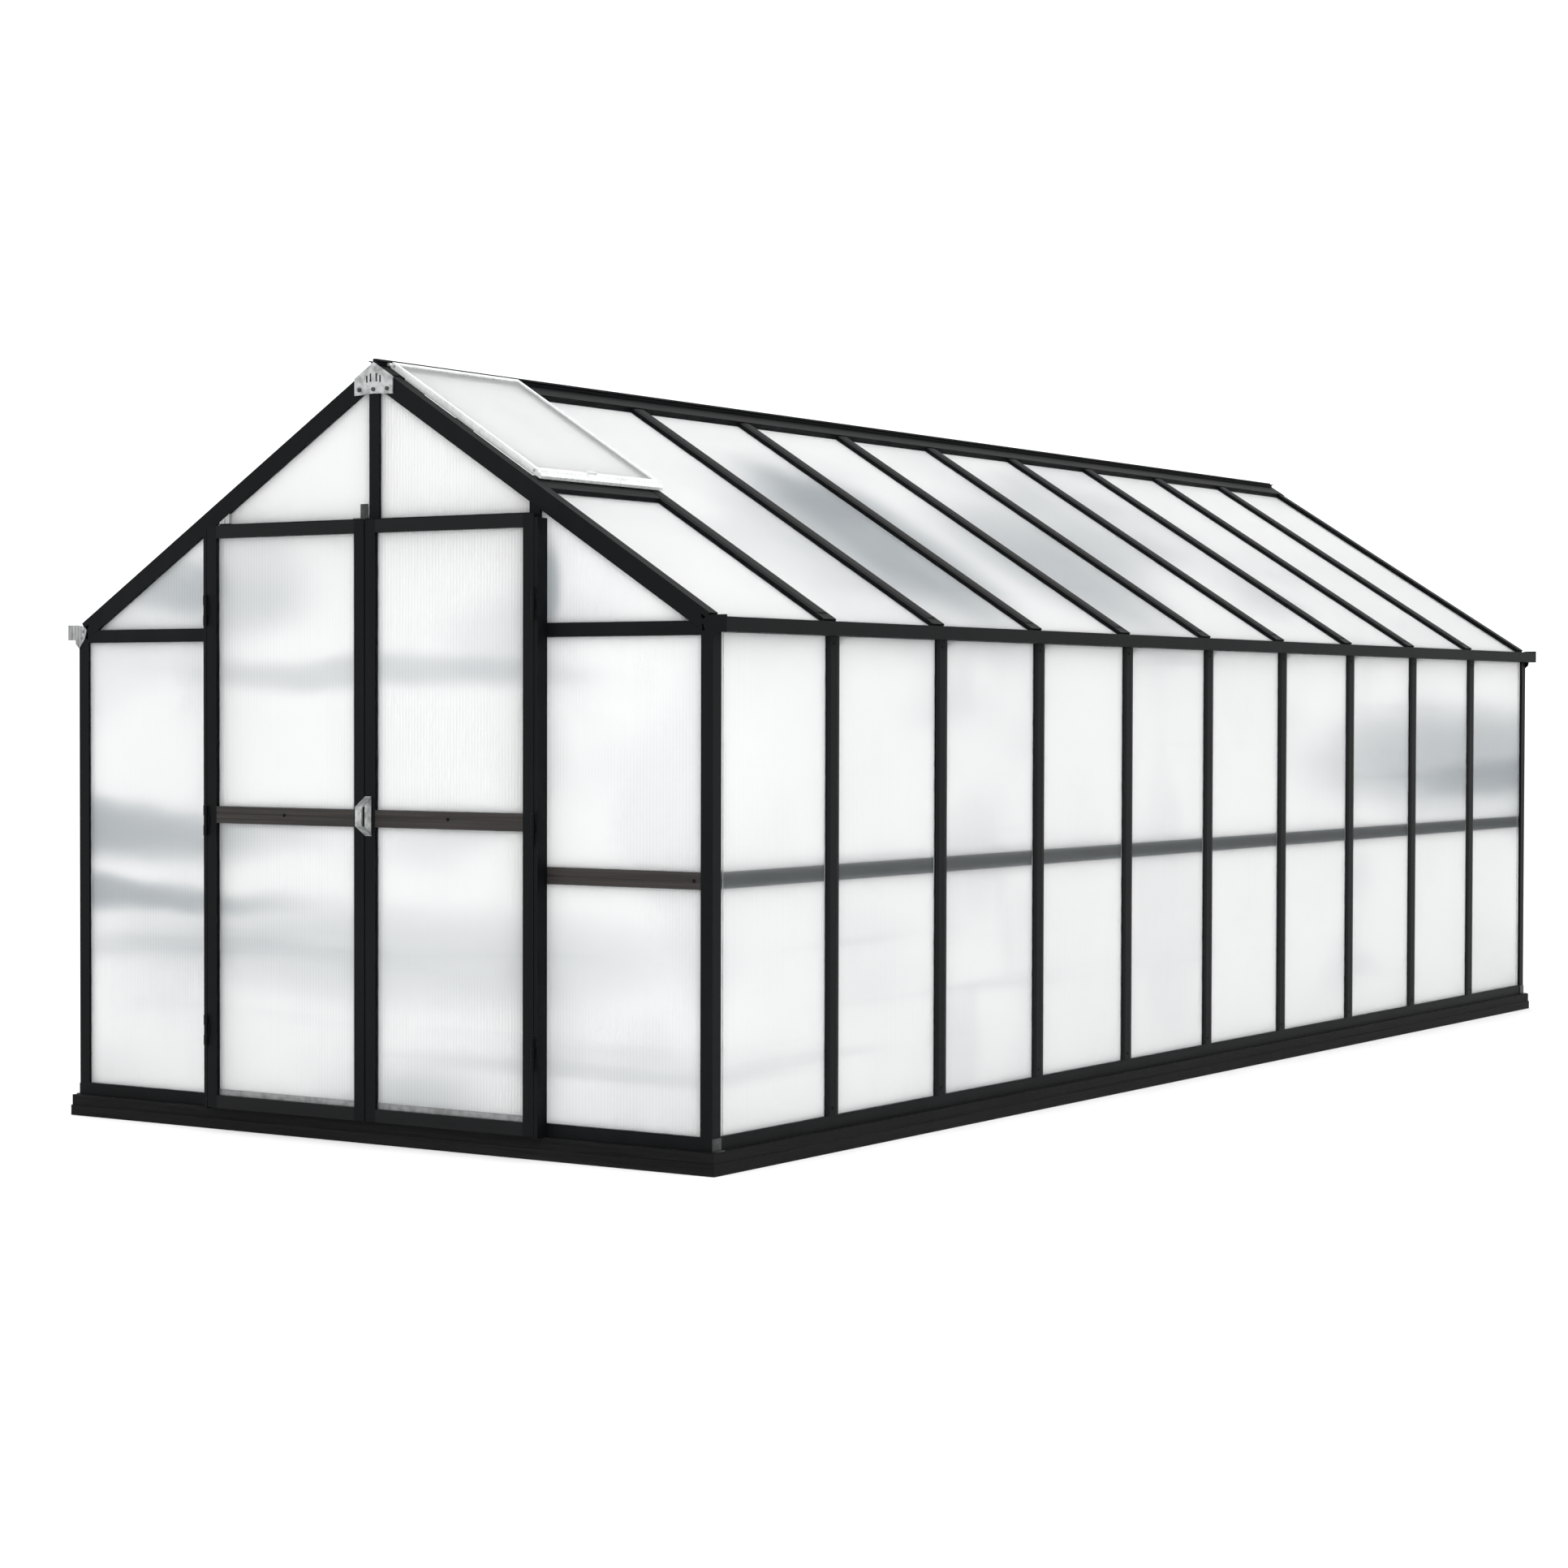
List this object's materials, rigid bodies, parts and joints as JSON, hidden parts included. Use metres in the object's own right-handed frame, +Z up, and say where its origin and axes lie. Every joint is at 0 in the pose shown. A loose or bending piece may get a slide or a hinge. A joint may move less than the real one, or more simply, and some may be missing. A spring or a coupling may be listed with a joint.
{
  "type": "greenhouse",
  "caption": "Walk-in gable greenhouse with twin-wall sheet panels in a black aluminium frame, double doors, ridge vents and a timber base.",
  "frame": {"origin": "on the ground, under the middle of the whole object", "axes": "+Z up, -Y out of the door gable, +X to the right of someone facing the doors"},
  "size_m": [2.482, 6.204, 2.2807],
  "materials": {
    "black_frame": "satin powder coat",
    "mill_aluminium": "as extruded",
    "plated_steel": "zinc plated",
    "twin_wall_sheet": "milky twin-wall polycarbonate",
    "timber": "black stain"
  },
  "bodies": {
    "house": {"anchor_brackets": "mill_aluminium", "base_boards_lower": "timber", "base_boards_upper": "timber", "bolt_keeper": "mill_aluminium", "corner_posts": "black_frame", "door_frame": "black_frame", "door_header": "black_frame", "door_jambs": "black_frame", "eave_brackets": "mill_aluminium", "frame_hinges": "black_frame", "gable_panels_front": "twin_wall_sheet", "gable_panels_rear": "twin_wall_sheet", "gable_rafters_front": "black_frame", "gable_rafters_rear": "black_frame", "gable_rails_front": "black_frame", "gable_rails_rear": "black_frame", "gable_sills": "black_frame", "girt_front": "black_frame", "girts_left": "black_frame", "girts_rear": "black_frame", "girts_right": "black_frame", "gutter_left": "black_frame", "gutter_right": "black_frame", "king_posts": "black_frame", "post_gussets": "mill_aluminium", "rear_gable_posts": "black_frame", "ridge_beam": "black_frame", "ridge_bolts": "plated_steel", "ridge_plates": "mill_aluminium", "roof_bars_left": "black_frame", "roof_bars_right": "black_frame", "roof_panels_left": "twin_wall_sheet", "roof_panels_right": "twin_wall_sheet", "side_sills": "black_frame", "vent_trimmers": "black_frame", "wall_bars_left": "black_frame", "wall_bars_right": "black_frame", "wall_panels_left": "twin_wall_sheet", "wall_panels_right": "twin_wall_sheet"},
    "left_leaf": {"left_door_hinges": "black_frame", "left_door_panels": "twin_wall_sheet", "left_door_rails": "black_frame", "left_door_stiles": "black_frame", "left_door_trim": "mill_aluminium", "bolt_guide": "mill_aluminium"},
    "right_leaf": {"right_door_hinges": "black_frame", "right_door_panels": "twin_wall_sheet", "right_door_rails": "black_frame", "right_door_stiles": "black_frame", "right_door_trim": "mill_aluminium", "pull_handle": "mill_aluminium"},
    "flush_bolt": {"slide_bolt": "plated_steel"},
    "left_vent": {"left_vent_frame": "mill_aluminium", "left_vent_panel": "twin_wall_sheet", "left_vent_fittings": "mill_aluminium"},
    "left_stay": {"left_vent_stay": "mill_aluminium"},
    "right_vent": {"right_vent_frame": "mill_aluminium", "right_vent_panel": "twin_wall_sheet", "right_vent_fittings": "mill_aluminium"},
    "right_stay": {"right_vent_stay": "mill_aluminium"}
  },
  "joints": [
    {"name": "left_door_hinge", "type": "hinge", "parent": "house", "child": "left_leaf", "pos_m": [-0.618, -3.064, 0.93], "axis": [0, 0, -1], "range_deg": [0, 160]},
    {"name": "right_door_hinge", "type": "hinge", "parent": "house", "child": "right_leaf", "pos_m": [0.618, -3.064, 0.93], "axis": [0, 0, 1], "range_deg": [0, 160]},
    {"name": "flush_bolt_slide", "type": "slide", "parent": "left_leaf", "child": "flush_bolt", "axis": [0, 0, 1], "range_m": [0, 0.015]},
    {"name": "left_vent_hinge", "type": "hinge", "parent": "house", "child": "left_vent", "pos_m": [-0.01728, -2.698, 2.26706], "axis": [0, 1, 0], "range_deg": [0, 45]},
    {"name": "left_stay_pivot", "type": "hinge", "parent": "left_vent", "child": "left_stay", "pos_m": [-0.5012, -2.698, 1.9451], "axis": [0, 1, 0], "range_deg": [0, 110]},
    {"name": "right_vent_hinge", "type": "hinge", "parent": "house", "child": "right_vent", "pos_m": [0.01728, -2.698, 2.26706], "axis": [0, -1, 0], "range_deg": [0, 45]},
    {"name": "right_stay_pivot", "type": "hinge", "parent": "right_vent", "child": "right_stay", "pos_m": [0.5012, -2.698, 1.9451], "axis": [0, -1, 0], "range_deg": [0, 110]}
  ]
}
